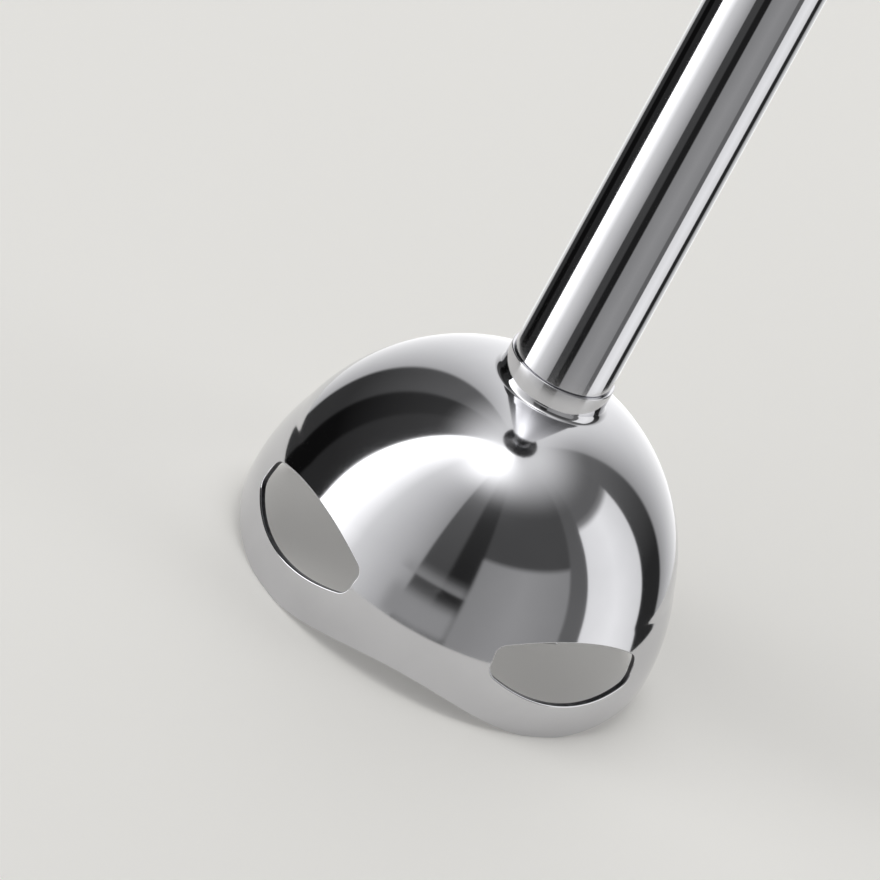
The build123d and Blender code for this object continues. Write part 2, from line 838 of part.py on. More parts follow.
with BuildPart() as upper_mount:
    revolve(tube_section(21.0 + press_gap, 24.6, 317.4, 322.4), axis=Axis.Z)
    fillet(upper_mount.edges(), 0.6)
save(upper_mount, "upper_mount")

# The stator's laminations, with a slot above and below each pole for the field coils.
pole_slot = (14.6, 9.3, 13.7)
with BuildPart() as stator_core:
    with BuildSketch(Plane.XY.offset(stack_z[0])) as lamination:
        Circle(stator_radius)
        Rectangle(2 * stator_radius, 2 * stator_half_depth, mode=Mode.INTERSECT)
        Circle(armature_radius + air_gap, mode=Mode.SUBTRACT)
        for side in (-1, 1):
            with Locations((0, side * (pole_slot[1] + pole_slot[2]) / 2)):
                Rectangle(2 * pole_slot[0], pole_slot[2] - pole_slot[1], mode=Mode.SUBTRACT)
        with Locations((0, tie_bolt_y), (0, -tie_bolt_y)):
            Circle(screw_radius + 0.1, mode=Mode.SUBTRACT)
    extrude(amount=stack_z[1] - stack_z[0])
save(stator_core, "stator_core")

coil_x = (10.7, 14.3)
coil_half_depth = (9.6, 13.4)
coil_overhang = 5.5
coil_mid_z = sum(stack_z) / 2
coil_height = stack_z[1] - stack_z[0] + 2 * coil_overhang
with BuildPart() as field_coils:
    for side in (-1, 1):
        with BuildSketch(Plane.YZ.offset(side * coil_x[0])):
            with Locations((0, coil_mid_z)):
                RectangleRounded(2 * coil_half_depth[1], coil_height, 4.0)
                RectangleRounded(
                    2 * coil_half_depth[0], coil_height - 2 * coil_overhang + 1.0, 0.5, mode=Mode.SUBTRACT
                )
        extrude(amount=side * (coil_x[1] - coil_x[0]))
save(field_coils, "field_coils")

with BuildPart() as tie_bolts:
    for y in (-tie_bolt_y, tie_bolt_y):
        with Locations((0, y, 249.0)):
            Cylinder(screw_radius, 322.2 - 249.0 + 2.0, align=(Align.CENTER, Align.CENTER, Align.MIN))
        with Locations((0, y, 322.2)):
            Cylinder(2.7, 2.0, align=(Align.CENTER, Align.CENTER, Align.MIN))
        with Locations((0, y, 244.0)):
            Cylinder(screw_radius, 5.0, align=(Align.CENTER, Align.CENTER, Align.MIN))
save(tie_bolts, "tie_bolts")

# ---- brushes ----
brush_z = 312.0
brush_x = (6.65, 15.6)
holder_x = (8.6, 19.6)
with BuildPart() as brush_holders:
    for side in (-1, 1):
        with BuildSketch(Plane.YZ.offset(side * holder_x[0])):
            with Locations((0, (307.8 + 317.6) / 2)):
                Rectangle(5.4, 9.8)
            with Locations((0, brush_z)):
                Rectangle(3.4, 6.2, mode=Mode.SUBTRACT)
        extrude(amount=side * (holder_x[1] - holder_x[0]))
        with BuildSketch(Plane.YZ.offset(side * holder_x[1])):
            with Locations((0, (307.8 + 317.6) / 2)):
                Rectangle(5.4, 9.8)
        extrude(amount=side * 0.8)
save(brush_holders, "brush_holders")

with BuildPart() as carbon_brushes:
    for side in (-1, 1):
        with BuildSketch(Plane.YZ.offset(side * brush_x[0])):
            with Locations((0, brush_z)):
                Rectangle(3.2, 6.0)
        extrude(amount=side * (brush_x[1] - brush_x[0]))
save(carbon_brushes, "carbon_brushes")

with BuildPart() as brush_springs:
    for side in (-1, 1):
        start = Plane(origin=(side * (brush_x[1] + 0.25), 0, brush_z), z_dir=(side, 0, 0))
        coil = start * Helix(pitch=0.95, height=3.5, radius=1.2)
        with BuildSketch(Plane(origin=coil @ 0, z_dir=coil % 0)):
            Circle(0.2)
        sweep(path=coil, is_frenet=True)
save(brush_springs, "brush_springs")

# ---- rotor ----
with BuildPart() as motor_shaft:
    with Locations((0, 0, 216.0)):
        Cylinder(motor_shaft_radius, 327.0 - 216.0, align=(Align.CENTER, Align.CENTER, Align.MIN))
    chamfer(motor_shaft.edges().filter_by(GeomType.CIRCLE), 0.4)
save(motor_shaft, "motor_shaft")

with BuildPart() as armature_core:
    with BuildSketch(Plane.XY.offset(stack_z[0])):
        Circle(armature_radius)
        Circle(motor_shaft_radius, mode=Mode.SUBTRACT)
        with PolarLocations(7.6, 12):
            SlotOverall(3.2, 1.6, mode=Mode.SUBTRACT)
    extrude(amount=stack_z[1] - stack_z[0])
save(armature_core, "armature_core")

with BuildPart() as armature_windings:
    revolve(
        half_section(
            (motor_shaft_radius, 258.5),
            (6.4, 258.5),
            (8.8, 261.0),
            (8.8, stack_z[0]),
            (motor_shaft_radius, stack_z[0]),
        ),
        axis=Axis.Z,
    )
    revolve(
        half_section(
            (motor_shaft_radius, stack_z[1]),
            (8.8, stack_z[1]),
            (8.8, 302.5),
            (6.4, 305.0),
            (motor_shaft_radius, 305.0),
        ),
        axis=Axis.Z,
    )
save(armature_windings, "armature_windings")

with BuildPart() as commutator:
    with BuildSketch(Plane.XY.offset(commutator_z[0])):
        Circle(6.5)
        Circle(motor_shaft_radius, mode=Mode.SUBTRACT)
        with PolarLocations(6.5, 12):
            Rectangle(1.2, 0.5, mode=Mode.SUBTRACT)
    extrude(amount=commutator_z[1] - commutator_z[0])
save(commutator, "commutator")

with BuildPart() as cooling_fan:
    with BuildSketch(Plane.XY.offset(fan_z[0])):
        Circle(fan_radius)
        Circle(motor_shaft_radius, mode=Mode.SUBTRACT)
    extrude(amount=1.2)
    with BuildSketch(Plane.XY.offset(fan_z[0])):
        Circle(5.0)
        Circle(motor_shaft_radius, mode=Mode.SUBTRACT)
    extrude(amount=fan_z[1] - fan_z[0])
    with BuildSketch(Plane.XY.offset(fan_z[0])):
        with PolarLocations(9.2, 11):
            Rectangle(8.8, 1.0, rotation=24)
    extrude(amount=fan_z[1] - fan_z[0] - 0.6)
save(cooling_fan, "cooling_fan")

with BuildPart() as drive_dog:
    with BuildSketch(Plane.XY.offset(206.0)):
        RegularPolygon(hex_across_flats / 2 - hex_play, 6, major_radius=False)
    extrude(amount=9.0)
    with BuildSketch(Plane.XY.offset(214.0)):
        Circle(5.2)
    extrude(amount=17.0)
    with BuildSketch(Plane.XY.offset(216.0)):
        Circle(motor_shaft_radius)
    extrude(amount=20.0, mode=Mode.SUBTRACT)
    chamfer(drive_dog.faces().sort_by(Axis.Z)[0].edges(), 0.7)
save(drive_dog, "drive_dog")
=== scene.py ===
"""Looks of the immersion blender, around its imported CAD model. Sizes are in millimetres and become
metres where a mesh is made; places come from the frame."""
import json
import math

import bmesh
import bpy
from mathutils import Matrix, Vector


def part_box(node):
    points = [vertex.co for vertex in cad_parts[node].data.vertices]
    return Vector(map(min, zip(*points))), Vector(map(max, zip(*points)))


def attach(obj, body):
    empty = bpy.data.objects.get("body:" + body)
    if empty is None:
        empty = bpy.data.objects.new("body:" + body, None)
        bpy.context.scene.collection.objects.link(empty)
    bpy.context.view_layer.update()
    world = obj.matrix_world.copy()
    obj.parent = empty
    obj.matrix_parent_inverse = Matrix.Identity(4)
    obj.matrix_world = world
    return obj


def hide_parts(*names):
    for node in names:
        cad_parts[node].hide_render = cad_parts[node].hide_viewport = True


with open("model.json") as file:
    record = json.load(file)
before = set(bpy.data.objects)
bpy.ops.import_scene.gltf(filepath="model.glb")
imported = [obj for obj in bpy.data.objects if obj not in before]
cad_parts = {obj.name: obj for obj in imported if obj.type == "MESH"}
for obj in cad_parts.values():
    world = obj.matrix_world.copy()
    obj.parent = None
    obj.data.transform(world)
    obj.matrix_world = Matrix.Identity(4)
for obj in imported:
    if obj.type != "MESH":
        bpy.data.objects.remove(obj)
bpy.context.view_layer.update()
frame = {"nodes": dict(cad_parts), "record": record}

MM = 0.001
NODES = frame["nodes"]

# ---- the bell's sheet, as in the CAD model ----
SHEET = 1.0
DOME_RADIUS = 32.3
DOME_CENTRE_Z = 9.4
CREASE_Z = 18.0
SKIRT_RADIUS = 33.55
NECK_RADIUS = 8.45
NECK_TOP_Z = 44.7
NECK_FILLET = 1.2
RIM_WAVE = 1.875
RIM_SINK = 0.15
WINDOW_HALF_WIDTH = 13.3
# The window's two long sides are arcs, as (radius, height of the centre)
WINDOW_TOP = (30.08, -13.38)
WINDOW_BOTTOM = (30.50, 36.90)
WINDOW_CORNER = 1.95
TUBE_RADIUS = 8.0
TUBE_WALL = 0.8
TUBE_TOP_Z = 196.0

# ---- edges that only the visual model has ----
EDGE_ROUND = 0.27
NECK_EDGE = 0.16
TUBE_EDGE = 0.22
CREASE_SOFTNESS = 0.05

# ---- camera ----
CAMERA_AZIMUTH = 45.0
CAMERA_ELEVATION = 27.0
SHAFT_LEAN = 28.75
CAMERA_DISTANCE = 3.0
FRAME_WIDTH = 0.13156
LOOK_RIGHT = 0.00078
LOOK_UP = 0.02367


# =============================== helpers ===============================

def lerp(a, b, t):
    return a + (b - a) * min(1.0, max(0.0, t))


def ease(t):
    """A smooth step from 0 to 1."""
    t = min(1.0, max(0.0, t))
    return t * t * (3 - 2 * t)


def link_object(name, data):
    obj = bpy.data.objects.new(name, data)
    bpy.context.scene.collection.objects.link(obj)
    return obj


def mesh_object(name, verts, faces, rounded=True):
    """A mesh object from points in millimetres, shaded smooth if it is rounded."""
    mesh = bpy.data.meshes.new(name)
    mesh.from_pydata([tuple(c * MM for c in v) for v in verts], [], faces)
    mesh.update()
    if rounded:
        mesh.shade_smooth()
    return link_object(name, mesh)


def face_outwards(obj, weld=0.0):
    """Make a mesh's face normals agree, after joining points closer than weld millimetres."""
    bm = bmesh.new()
    bm.from_mesh(obj.data)
    if weld:
        bmesh.ops.remove_doubles(bm, verts=bm.verts, dist=weld * MM)
    bmesh.ops.recalc_face_normals(bm, faces=bm.faces)
    bm.to_mesh(obj.data)
    bm.free()


# =============================== camera ===============================

def add_camera():
    azimuth = math.radians(CAMERA_AZIMUTH)
    elevation = math.radians(CAMERA_ELEVATION)
    towards = Vector((math.sin(azimuth), -math.cos(azimuth), 0)) * math.cos(elevation)
    towards.z = math.sin(elevation)
    level_right = Vector((math.cos(azimuth), math.sin(azimuth), 0))
    level_up = towards.cross(level_right)
    lean = math.radians(SHAFT_LEAN)
    right = level_right * math.cos(lean) + level_up * math.sin(lean)
    up = level_up * math.cos(lean) - level_right * math.sin(lean)
    aim = right * LOOK_RIGHT + up * LOOK_UP
    data = bpy.data.cameras.new("camera")
    data.sensor_width = 36.0
    data.lens = data.sensor_width * CAMERA_DISTANCE / FRAME_WIDTH
    data.clip_end = 20.0
    camera = link_object("camera", data)
    turn = Matrix((right, up, towards)).transposed().to_4x4()
    camera.matrix_world = Matrix.Translation(aim + towards * CAMERA_DISTANCE) @ turn
    bpy.context.scene.camera = camera


# =============================== studio ===============================

# A tent of soft light round the blender, in metres and degrees of elevation
TENT_RADIUS = 1.6
TENT_CENTRE_Z = 0.03
TENT_FOOT, TENT_TOP = -60.0, 90.0
TENT_COLUMNS, TENT_ROWS = 360, 56
TENT_STRENGTH = 1.55
# Upright light panels round the blender, by azimuth from the camera in degrees, to the right positive:
# (left edge, right edge, top edge, brightness at the left, in the middle, at the right, top softness)
PANELS = (
    (-82.5, -15.5, 90, 1.9, 0.62, 0.27, 8),
    (14.0, 69.0, 27, 0.21, 0.26, 0.22, 2),
    (80.5, 119.5, 44, 0.70, 0.78, 0.62, 2),
    (137.0, 219.0, 90, 0.26, 0.95, 0.36, 20),
)
PANEL_SOFTNESS = 1.2
# Dark stretches between the panels: (left edge, right edge, brightness low down, brightness high up)
GAPS = (
    (-141.0, -122.0, 0.030, 0.100),
    (-122.0, -104.0, 0.004, 0.030),
    (-104.0, -82.5, 0.020, 0.040),
    (-15.5, 0.0, 0.050, 0.090),
    (0.0, 14.0, 0.012, 0.030),
    (14.0, 69.0, 0.055, 0.060),
    (69.0, 80.5, 0.110, 0.090),
    (80.5, 119.5, 0.090, 0.105),
    (119.5, 137.0, 0.020, 0.110),
)
GAP_SOFTNESS = 2.5
# The low end of the gaps' brightness, and how far above it the high end is
GAP_FOOT, GAP_RISE = 5, 45
# The dark stretch on the camera's side is grey close to the horizon: its edges and their softness, the
# elevations over which it comes in and goes out, and its brightness
GLOW_LEFT, GLOW_RIGHT, GLOW_SOFTNESS = -22.0, 14.0, 8
GLOW_IN, GLOW_IN_RISE = -14, 8
GLOW_OUT, GLOW_OUT_RISE = 3, 9
LOW_GLOW = 0.24
SKY_FOOT, SKY_RISE, SKY_LIGHT = 52, 32, 0.62
# A bright spot high up: azimuth, elevation, their spreads, and brightness
HOT_SPOT = (-30, 78, 42, 15, 1.1)

FLOOR_RADIUS = 2200.0
PATCH_RADIUS = 95.0
PATCH_Z = 0.05
FLOOR_SIDES = 96


def inside(azimuth, left, right, soft):
    """1 inside a stretch of azimuths, 0 outside, with soft edges. Azimuths wrap round."""
    best = 0.0
    for turn in (-360, 0, 360):
        a = azimuth + turn
        best = max(best, ease((a - left) / soft + 0.5) * ease((right - a) / soft + 0.5))
    return best


def wall_light(azimuth, elevation):
    """Brightness of the tent in one direction."""
    level = 0.0
    for left, right, low, high in GAPS:
        light = lerp(low, high, (elevation - GAP_FOOT) / GAP_RISE)
        level += inside(azimuth, left, right, GAP_SOFTNESS) * light
    for left, right, top, first, middle, last, top_soft in PANELS:
        share = inside(azimuth, left, right, PANEL_SOFTNESS) * ease((top - elevation) / top_soft + 0.5)
        turned_round = azimuth + 360 if azimuth < left - 1 else azimuth
        t = (turned_round - left) / (right - left)
        light = lerp(first, middle, t * 2) if t < 0.5 else lerp(middle, last, t * 2 - 1)
        level = level * (1 - share) + light * share
    glow = inside(azimuth, GLOW_LEFT, GLOW_RIGHT, GLOW_SOFTNESS)
    glow *= (1 - ease((elevation - GLOW_OUT) / GLOW_OUT_RISE)) * ease((elevation - GLOW_IN) / GLOW_IN_RISE)
    level += glow * (LOW_GLOW - level)
    sky = ease((elevation - SKY_FOOT) / SKY_RISE)
    spot_azimuth, spot_elevation, spread, spread_up, spot_light = HOT_SPOT
    aside, above = (azimuth - spot_azimuth) / spread, (elevation - spot_elevation) / spread_up
    return level * (1 - sky) + sky * SKY_LIGHT + spot_light * math.exp(-(aside**2 + above**2))


def tent_material():
    """A light of the brightness that each point of the tent holds."""
    material = bpy.data.materials.new("tent_light")
    material.use_nodes = True
    tree = material.node_tree
    tree.nodes.clear()
    attribute = tree.nodes.new("ShaderNodeAttribute")
    attribute.attribute_name = "light"
    scale = tree.nodes.new("ShaderNodeMath")
    scale.operation = "MULTIPLY"
    scale.inputs[1].default_value = TENT_STRENGTH
    glow = tree.nodes.new("ShaderNodeEmission")
    out = tree.nodes.new("ShaderNodeOutputMaterial")
    tree.links.new(attribute.outputs["Fac"], scale.inputs[0])
    tree.links.new(scale.outputs[0], glow.inputs["Strength"])
    tree.links.new(glow.outputs[0], out.inputs["Surface"])
    return material


def add_studio():
    verts, faces, levels = [], [], []
    reach = TENT_RADIUS / MM
    for j in range(TENT_ROWS + 1):
        elevation = TENT_FOOT + (TENT_TOP - TENT_FOOT) * j / TENT_ROWS
        for i in range(TENT_COLUMNS):
            azimuth = -180.0 + 360.0 * i / TENT_COLUMNS
            a = math.radians(CAMERA_AZIMUTH + azimuth)
            e = math.radians(elevation)
            height = math.sin(e) * reach + TENT_CENTRE_Z / MM
            verts.append((math.sin(a) * math.cos(e) * reach, -math.cos(a) * math.cos(e) * reach, height))
            levels.append(wall_light(azimuth, elevation))
    for j in range(TENT_ROWS):
        for i in range(TENT_COLUMNS):
            n = (i + 1) % TENT_COLUMNS
            low, high = j * TENT_COLUMNS, (j + 1) * TENT_COLUMNS
            faces.append((low + i, low + n, high + n, high + i))
    tent = mesh_object("light_tent", verts, faces)
    layer = tent.data.attributes.new("light", "FLOAT", "POINT")
    layer.data.foreach_set("value", levels)
    tent.data.materials.append(tent_material())
    tent.visible_camera = False
    tent.visible_shadow = False


def glowing_floor_material(name):
    material = bpy.data.materials.new(name + "_paint")
    material.use_nodes = True
    shader = material.node_tree.nodes["Principled BSDF"]
    shader.inputs["Base Color"].default_value = (0.80, 0.79, 0.76, 1)
    shader.inputs["Roughness"].default_value = 0.9
    shader.inputs["Specular IOR Level"].default_value = 0.0
    # The emission is painted light: the floor glows so that the shade under and inside the bell is lifted
    shader.inputs["Emission Color"].default_value = (0.80, 0.79, 0.77, 1)
    shader.inputs["Emission Strength"].default_value = 0.22
    return material


def add_floor():
    """A plain pale floor that glows a little: painted light that lifts its shade under the bell. Gloss sees
    only a round patch of it close to the bell.
    """
    for name, radius, z in (("floor", FLOOR_RADIUS, 0.0), ("floor_patch", PATCH_RADIUS, PATCH_Z)):
        angles = [math.tau * i / FLOOR_SIDES for i in range(FLOOR_SIDES)]
        ring = [(radius * math.cos(a), radius * math.sin(a), z) for a in angles]
        plate = mesh_object(name, ring, [tuple(range(FLOOR_SIDES))], rounded=False)
        plate.data.materials.append(glowing_floor_material(name))
        if name == "floor":
            plate.visible_glossy = False
        else:
            plate.visible_camera = False
            plate.visible_diffuse = False
            plate.visible_shadow = False


def add_world():
    world = bpy.data.worlds.new("backdrop")
    world.use_nodes = True
    world.node_tree.nodes["Background"].inputs["Color"].default_value = (0.78, 0.78, 0.77, 1)
    bpy.context.scene.world = world
    bpy.context.scene.view_settings.view_transform = "Standard"


# =============================== materials ===============================

# The middle range of a noise, which the two tones and the roughness spread over
NOISE_LOW, NOISE_HIGH = 0.3, 0.7


def noise_field(tree, scale, detail, stretch):
    """A noise over the object's own space, stretched along its axes."""
    coords = tree.nodes.new("ShaderNodeTexCoord")
    mapping = tree.nodes.new("ShaderNodeMapping")
    mapping.inputs["Scale"].default_value = stretch
    noise = tree.nodes.new("ShaderNodeTexNoise")
    noise.inputs["Scale"].default_value = scale
    noise.inputs["Detail"].default_value = detail
    tree.links.new(coords.outputs["Object"], mapping.inputs["Vector"])
    tree.links.new(mapping.outputs["Vector"], noise.inputs["Vector"])
    return noise, mapping


def ranged(tree, source, low, high):
    """A noise's middle range spread between two values."""
    spread = tree.nodes.new("ShaderNodeMapRange")
    spread.inputs["From Min"].default_value = NOISE_LOW
    spread.inputs["From Max"].default_value = NOISE_HIGH
    spread.inputs["To Min"].default_value = low
    spread.inputs["To Max"].default_value = high
    tree.links.new(source, spread.inputs["Value"])
    return spread.outputs["Result"]


def two_tone(tree, source, dark, light):
    """A colour between two, by a noise's middle range."""
    ramp = tree.nodes.new("ShaderNodeValToRGB")
    ramp.color_ramp.elements[0].position = NOISE_LOW
    ramp.color_ramp.elements[0].color = (*dark, 1)
    ramp.color_ramp.elements[1].position = NOISE_HIGH
    ramp.color_ramp.elements[1].color = (*light, 1)
    tree.links.new(source, ramp.inputs["Fac"])
    return ramp.outputs["Color"]


def add_bump(tree, shader, source, depth_mm):
    bump = tree.nodes.new("ShaderNodeBump")
    bump.inputs["Strength"].default_value = 1.0
    bump.inputs["Distance"].default_value = depth_mm * MM
    tree.links.new(source, bump.inputs["Height"])
    tree.links.new(bump.outputs["Normal"], shader.inputs["Normal"])


def pattern_height(tree, mapping, kind, pitch):
    """A regular relief: bands across the height, or cells."""
    if kind == "bands":
        texture = tree.nodes.new("ShaderNodeTexWave")
        texture.bands_direction = "Z"
        texture.inputs["Distortion"].default_value = 0.4
        height = texture.outputs["Fac"]
    else:
        texture = tree.nodes.new("ShaderNodeTexVoronoi")
        texture.feature = "SMOOTH_F1"
        height = texture.outputs["Distance"]
    texture.inputs["Scale"].default_value = pitch
    tree.links.new(mapping.outputs["Vector"], texture.inputs["Vector"])
    return height


def surface(
    name, dark, light, rough, scale, metallic=0.0, stretch=(1, 1, 1), detail=4, bump_mm=0.0, pattern=None
):
    """One material: two close tones, a wandering roughness and a fine relief, in object space."""
    material = bpy.data.materials.new(name)
    material.use_nodes = True
    tree = material.node_tree
    shader = tree.nodes["Principled BSDF"]
    shader.inputs["Metallic"].default_value = metallic
    noise, mapping = noise_field(tree, scale, detail, stretch)
    field = noise.outputs["Fac"]
    height = pattern_height(tree, mapping, *pattern) if pattern else field
    tree.links.new(two_tone(tree, field, dark, light), shader.inputs["Base Color"])
    tree.links.new(ranged(tree, field, *rough), shader.inputs["Roughness"])
    if bump_mm:
        add_bump(tree, shader, height, bump_mm)
    return material


def grey(dark, light, blue=0.0):
    """A dark and a light grey, with a touch of blue."""
    return (dark, dark, dark + blue), (light, light, light + blue)


# Each finish: its dark and light tones, its roughness range, its grain's scale, then what else it has
FINISHES = {
    "polished_steel": (grey(0.595, 0.655, 0.02), (0.05, 0.09), 60, dict(metallic=1)),
    # The window walls' finish: rougher like a cut edge, with a near-black tone that is painted shade
    "cut_steel_and_shade": (
        ((0.10, 0.10, 0.105), (0.18, 0.18, 0.19)), (0.28, 0.40), 900, dict(metallic=1, bump_mm=0.006)
    ),
    "blade_steel": (
        grey(0.50, 0.62, 0.01), (0.16, 0.30), 300, dict(metallic=1, stretch=(1, 6, 6), bump_mm=0.004)
    ),
    "trim_steel": (
        grey(0.58, 0.66, 0.01), (0.10, 0.18), 500, dict(metallic=1, stretch=(1, 1, 12), bump_mm=0.002)
    ),
    "shaft_steel": (
        grey(0.42, 0.56, 0.01), (0.18, 0.32), 400, dict(metallic=1, stretch=(1, 1, 8), bump_mm=0.004)
    ),
    "screw_steel": (
        ((0.40, 0.40, 0.38), (0.58, 0.57, 0.54)), (0.25, 0.45), 900, dict(metallic=1, bump_mm=0.006)
    ),
    "spring_steel": (grey(0.34, 0.52, 0.01), (0.22, 0.36), 900, dict(metallic=1, bump_mm=0.004)),
    "bearing_plastic": (
        ((0.020, 0.020, 0.022), (0.045, 0.045, 0.048)), (0.40, 0.55), 1500, dict(bump_mm=0.01)
    ),
    "bronze": (
        ((0.36, 0.20, 0.09), (0.58, 0.38, 0.20)), (0.35, 0.55), 1800, dict(metallic=1, bump_mm=0.015)
    ),
    "seal_rubber": (grey(0.012, 0.028), (0.55, 0.75), 1200, dict(bump_mm=0.02)),
    "collar_plastic": (
        ((0.016, 0.016, 0.018), (0.026, 0.026, 0.029)), (0.36, 0.46), 2600, dict(detail=6, bump_mm=0.022)
    ),
    "housing_plastic": (
        ((0.018, 0.018, 0.020), (0.029, 0.029, 0.032)), (0.38, 0.50), 2600, dict(detail=6, bump_mm=0.025)
    ),
    "soft_grip": (
        ((0.032, 0.033, 0.036), (0.050, 0.051, 0.055)),
        (0.62, 0.78),
        900,
        dict(bump_mm=0.05, pattern=("cells", 900)),
    ),
    "dial_plastic": (grey(0.20, 0.30, 0.01), (0.22, 0.34), 2200, dict(metallic=0.6, bump_mm=0.006)),
    "coupler_plastic": (((0.56, 0.54, 0.48), (0.72, 0.70, 0.64)), (0.38, 0.52), 700, dict(bump_mm=0.012)),
    "electronics": (((0.010, 0.060, 0.028), (0.030, 0.120, 0.060)), (0.30, 0.55), 350, dict(bump_mm=0.02)),
    "bracket_metal": (grey(0.36, 0.52, 0.01), (0.40, 0.60), 900, dict(metallic=1, bump_mm=0.04)),
    "lamination_steel": (
        ((0.10, 0.10, 0.11), (0.24, 0.23, 0.22)),
        (0.35, 0.55),
        260,
        dict(metallic=0.9, bump_mm=0.08, pattern=("bands", 320)),
    ),
    "copper": (
        ((0.42, 0.14, 0.05), (0.66, 0.28, 0.12)),
        (0.20, 0.38),
        420,
        dict(metallic=1, bump_mm=0.16, pattern=("bands", 380)),
    ),
    "brush_brass": (
        ((0.48, 0.34, 0.12), (0.68, 0.50, 0.22)), (0.22, 0.40), 700, dict(metallic=1, bump_mm=0.006)
    ),
    "carbon": (((0.012, 0.012, 0.013), (0.035, 0.035, 0.036)), (0.55, 0.75), 1600, dict(bump_mm=0.03)),
    "scale_paint": (((0.62, 0.62, 0.61), (0.72, 0.72, 0.71)), (0.45, 0.60), 900, dict(bump_mm=0.004)),
}
MATERIALS = {
    name: surface(name, *tones, rough, scale, **more)
    for name, (tones, rough, scale, more) in FINISHES.items()
}


def dress_nodes():
    """Every CAD node gets the material of its slot in the record."""
    for part in frame["record"]["subparts"]:
        obj = NODES[part["node"]]
        obj.data.materials.clear()
        obj.data.materials.append(MATERIALS[part["material_slot"]])


# =============================== the bell's form ===============================

CREASE_RADIUS = math.sqrt(DOME_RADIUS**2 - (CREASE_Z - DOME_CENTRE_Z) ** 2)
SKIRT_CENTRE_Z = CREASE_Z - math.sqrt(SKIRT_RADIUS**2 - CREASE_RADIUS**2)
FILLET_R = NECK_RADIUS + NECK_FILLET
FILLET_Z = DOME_CENTRE_Z + math.sqrt((DOME_RADIUS + NECK_FILLET) ** 2 - FILLET_R**2)
FILLET_LOW_Z = DOME_CENTRE_Z + (FILLET_Z - DOME_CENTRE_Z) * DOME_RADIUS / (DOME_RADIUS + NECK_FILLET)
# Steps along a window's long side, its short end, and round a small edge
LONG_STEPS = 96
SHORT_STEPS = 16
ROUND_STEPS = 5
# How the rings between a window and its sector's border are spaced
RING_SHARES = (0, 0.02, 0.05, 0.10, 0.17, 0.26, 0.37, 0.49, 0.61, 0.72, 0.81, 0.88, 0.93, 0.965, 0.985, 1)


def ball_radius(centre_z, radius, z):
    return math.sqrt(max(0.0, radius**2 - (z - centre_z) ** 2))


def outer_radius(z):
    """The bell's outer radius at a height, with a slightly soft crease between dome and skirt."""
    if z >= FILLET_Z:
        return NECK_RADIUS
    if z > FILLET_LOW_Z:
        return FILLET_R - math.sqrt(max(0.0, NECK_FILLET**2 - (z - FILLET_Z) ** 2))
    dome = ball_radius(DOME_CENTRE_Z, DOME_RADIUS, z)
    skirt = ball_radius(SKIRT_CENTRE_Z, SKIRT_RADIUS, z)
    return (dome + skirt + math.sqrt((dome - skirt) ** 2 + CREASE_SOFTNESS**2)) / 2


def profile_normal(z):
    """The outer normal in the half section, as (radial, up)."""
    step = 0.01
    slope = (outer_radius(z + step) - outer_radius(z - step)) / (2 * step)
    length = math.hypot(1.0, slope)
    return 1.0 / length, -slope / length


def sheet_point(height, depth, angle=None, across=None):
    """A point in the sheet, the outer normal and the angle. The place is an angle, or a distance across."""
    z = height
    for _ in range(3):
        radial, up = profile_normal(z)
        z = height + depth * up
    r = outer_radius(z) - depth * radial
    if angle is None:
        angle = math.asin(across / r)
    point = Vector((r * math.cos(angle), r * math.sin(angle), height))
    return point, Vector((radial * math.cos(angle), radial * math.sin(angle), up)), angle


def rim_z(angle):
    """Height of the rim's edge at an angle from a window's middle."""
    return max(0.0, RIM_WAVE * (1 - math.cos(4 * angle)) - RIM_SINK)


def window_side(arc, top):
    """One long side of the window, between its corners' middles, as (across, height, out_x, out_z)."""
    radius, centre_z = arc
    sign = 1 if top else -1
    corner_x = WINDOW_HALF_WIDTH - WINDOW_CORNER
    corner_rise = math.sqrt((radius - WINDOW_CORNER) ** 2 - corner_x**2)
    corner_z = centre_z + sign * corner_rise
    tangent = math.atan2(corner_rise, corner_x)
    corner_length = WINDOW_CORNER * tangent / 2
    arc_length = radius * (math.pi - 2 * tangent)
    points = []
    for i in range(LONG_STEPS + 1):
        run = (2 * corner_length + arc_length) * i / LONG_STEPS
        if run < corner_length:
            a, centre, r = tangent / 2 + run / WINDOW_CORNER, (corner_x, corner_z), WINDOW_CORNER
        elif run < corner_length + arc_length:
            a, centre, r = tangent + (run - corner_length) / radius, (0.0, centre_z), radius
        else:
            a = math.pi - tangent + (run - corner_length - arc_length) / WINDOW_CORNER
            centre, r = (-corner_x, corner_z), WINDOW_CORNER
        out_x, out_z = math.cos(a), sign * math.sin(a)
        points.append((centre[0] + r * out_x, centre[1] + r * out_z, out_x, out_z))
    return points, corner_z, tangent


def window_end(top_z, top_tangent, bottom_z, bottom_tangent):
    """The window's left end, from the top corner's middle down to the bottom corner's middle."""
    corner_x = -(WINDOW_HALF_WIDTH - WINDOW_CORNER)
    lengths = (WINDOW_CORNER * top_tangent / 2, top_z - bottom_z, WINDOW_CORNER * bottom_tangent / 2)
    points = []
    for i in range(SHORT_STEPS + 1):
        run = sum(lengths) * i / SHORT_STEPS
        if run < lengths[0]:
            a, z = math.pi - top_tangent / 2 + run / WINDOW_CORNER, top_z
        elif run < lengths[0] + lengths[1]:
            a, z = math.pi, top_z - (run - lengths[0])
        else:
            a, z = math.pi + (run - lengths[0] - lengths[1]) / WINDOW_CORNER, bottom_z
        out_x, out_z = math.cos(a), math.sin(a)
        points.append((corner_x + WINDOW_CORNER * out_x, z + WINDOW_CORNER * out_z, out_x, out_z))
    return points


def window_loop():
    """The whole window, anticlockwise from the right top corner's middle."""
    top, top_z, top_tangent = window_side(WINDOW_TOP, True)
    bottom, bottom_z, bottom_tangent = window_side(WINDOW_BOTTOM, False)
    left = window_end(top_z, top_tangent, bottom_z, bottom_tangent)
    right = [(-x, z, -nx, nz) for x, z, nx, nz in reversed(left)]
    return top[:-1] + left[:-1] + bottom[::-1][:-1] + right[:-1]


